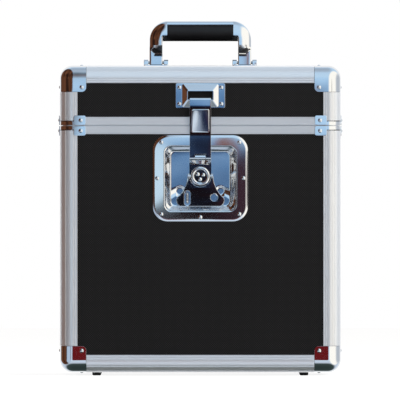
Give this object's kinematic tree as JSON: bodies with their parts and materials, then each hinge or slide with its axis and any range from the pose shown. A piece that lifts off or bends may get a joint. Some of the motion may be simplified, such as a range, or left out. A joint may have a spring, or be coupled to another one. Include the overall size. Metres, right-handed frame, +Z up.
{
  "type": "record carrying case",
  "caption": "Tall flight-style carrying case for 12 inch records, with a hinged lid, a recessed twist latch and a fold-down handle.",
  "frame": {"origin": "under the middle of the case, on the plane of the feet's soles", "axes": "+X to the right seen from the front, +Y to the back, +Z up"},
  "size_m": [0.3566, 0.259, 0.4456],
  "materials": {
    "band_aluminium": "satin anodised",
    "black_laminate": "fine pressed diamond texture",
    "lining_felt": "short black felt",
    "foam_pad": "closed-cell foam",
    "foot_rubber": "matte",
    "grip_plastic": "satin moulded",
    "cover_steel": "matte black paint",
    "pin_steel": "turned steel",
    "chrome": "polished plating"
  },
  "bodies": {
    "lid": {"lid_upright_edges": "band_aluminium", "lid_edge_front": "band_aluminium", "lid_edge_back": "band_aluminium", "lid_edge_left": "band_aluminium", "lid_edge_right": "band_aluminium", "lid_rim": "band_aluminium", "lid_panel_front": "black_laminate", "lid_panel_back": "black_laminate", "lid_panel_left": "black_laminate", "lid_panel_right": "black_laminate", "lid_panel_top": "black_laminate", "lid_wall_lining": "lining_felt", "lid_top_pad": "foam_pad", "lid_corner_front_left": "chrome", "lid_corner_front_right": "chrome", "lid_corner_back_right": "chrome", "lid_corner_back_left": "chrome", "lid_rim_clips": "chrome", "lid_rivets": "chrome", "lid_hinge_leaves": "chrome", "keeper_plate": "chrome", "keeper_rivets": "chrome", "handle_brackets": "chrome", "handle_pins": "pin_steel"},
    "base": {"base_upright_edges": "band_aluminium", "base_edge_front": "band_aluminium", "base_edge_back": "band_aluminium", "base_edge_left": "band_aluminium", "base_edge_right": "band_aluminium", "base_rim": "band_aluminium", "base_panel_front": "black_laminate", "base_panel_back": "black_laminate", "base_panel_left": "black_laminate", "base_panel_right": "black_laminate", "base_panel_floor": "black_laminate", "base_wall_lining": "lining_felt", "base_floor_pad": "foam_pad", "base_corner_front_left": "chrome", "base_corner_front_right": "chrome", "base_corner_back_right": "chrome", "base_corner_back_left": "chrome", "base_rim_clips": "chrome", "base_rivets": "chrome", "feet": "foot_rubber", "foot_screws": "pin_steel", "base_hinge_leaves": "chrome", "hinge_pins": "pin_steel", "latch_dish": "chrome", "latch_back_cover": "cover_steel", "latch_dish_rivets": "chrome", "padlock_staple": "chrome"},
    "handle": {"handle_frame": "chrome", "handle_grip": "grip_plastic"},
    "rotor": {"latch_rotor": "chrome", "wing_pin": "pin_steel"},
    "wing": {"latch_wing": "chrome"},
    "link": {"latch_link": "chrome"},
    "arm": {"latch_arm": "chrome", "arm_pin": "pin_steel"}
  },
  "joints": [
    {"name": "lid_hinge", "type": "hinge", "parent": "base", "child": "lid", "pos_m": [0, 0.1243, 0.3134], "axis": [-1, 0, 0], "range_deg": [0, 100]},
    {"name": "handle_fold", "type": "hinge", "parent": "lid", "child": "handle", "pos_m": [0, 0, 0.3931], "axis": [1, 0, 0], "range_deg": [-77, 77]},
    {"name": "arm_swing", "type": "hinge", "parent": "link", "child": "arm", "pos_m": [0, -0.11895, 0.2734], "axis": [1, 0, 0], "range_deg": [0, 115]},
    {"name": "latch_twist", "type": "hinge", "parent": "base", "child": "rotor", "pos_m": [0, -0.1185, 0.25], "axis": [0, -1, 0], "range_deg": [0, 180]},
    {"name": "wing_fold", "type": "hinge", "parent": "rotor", "child": "wing", "pos_m": [0, -0.1139, 0.25], "axis": [-1, 0, 0], "range_deg": [0, 90]},
    {"name": "link_lift", "type": "slide", "parent": "base", "child": "link", "axis": [0, 0, 1], "range_m": [0, 0.007]}
  ],
  "couplings": [
    {"joint": "wing_fold", "follows": "latch_twist", "ratio": 0.5},
    {"joint": "link_lift", "follows": "latch_twist", "m_per_rad": 0.0022282}
  ]
}
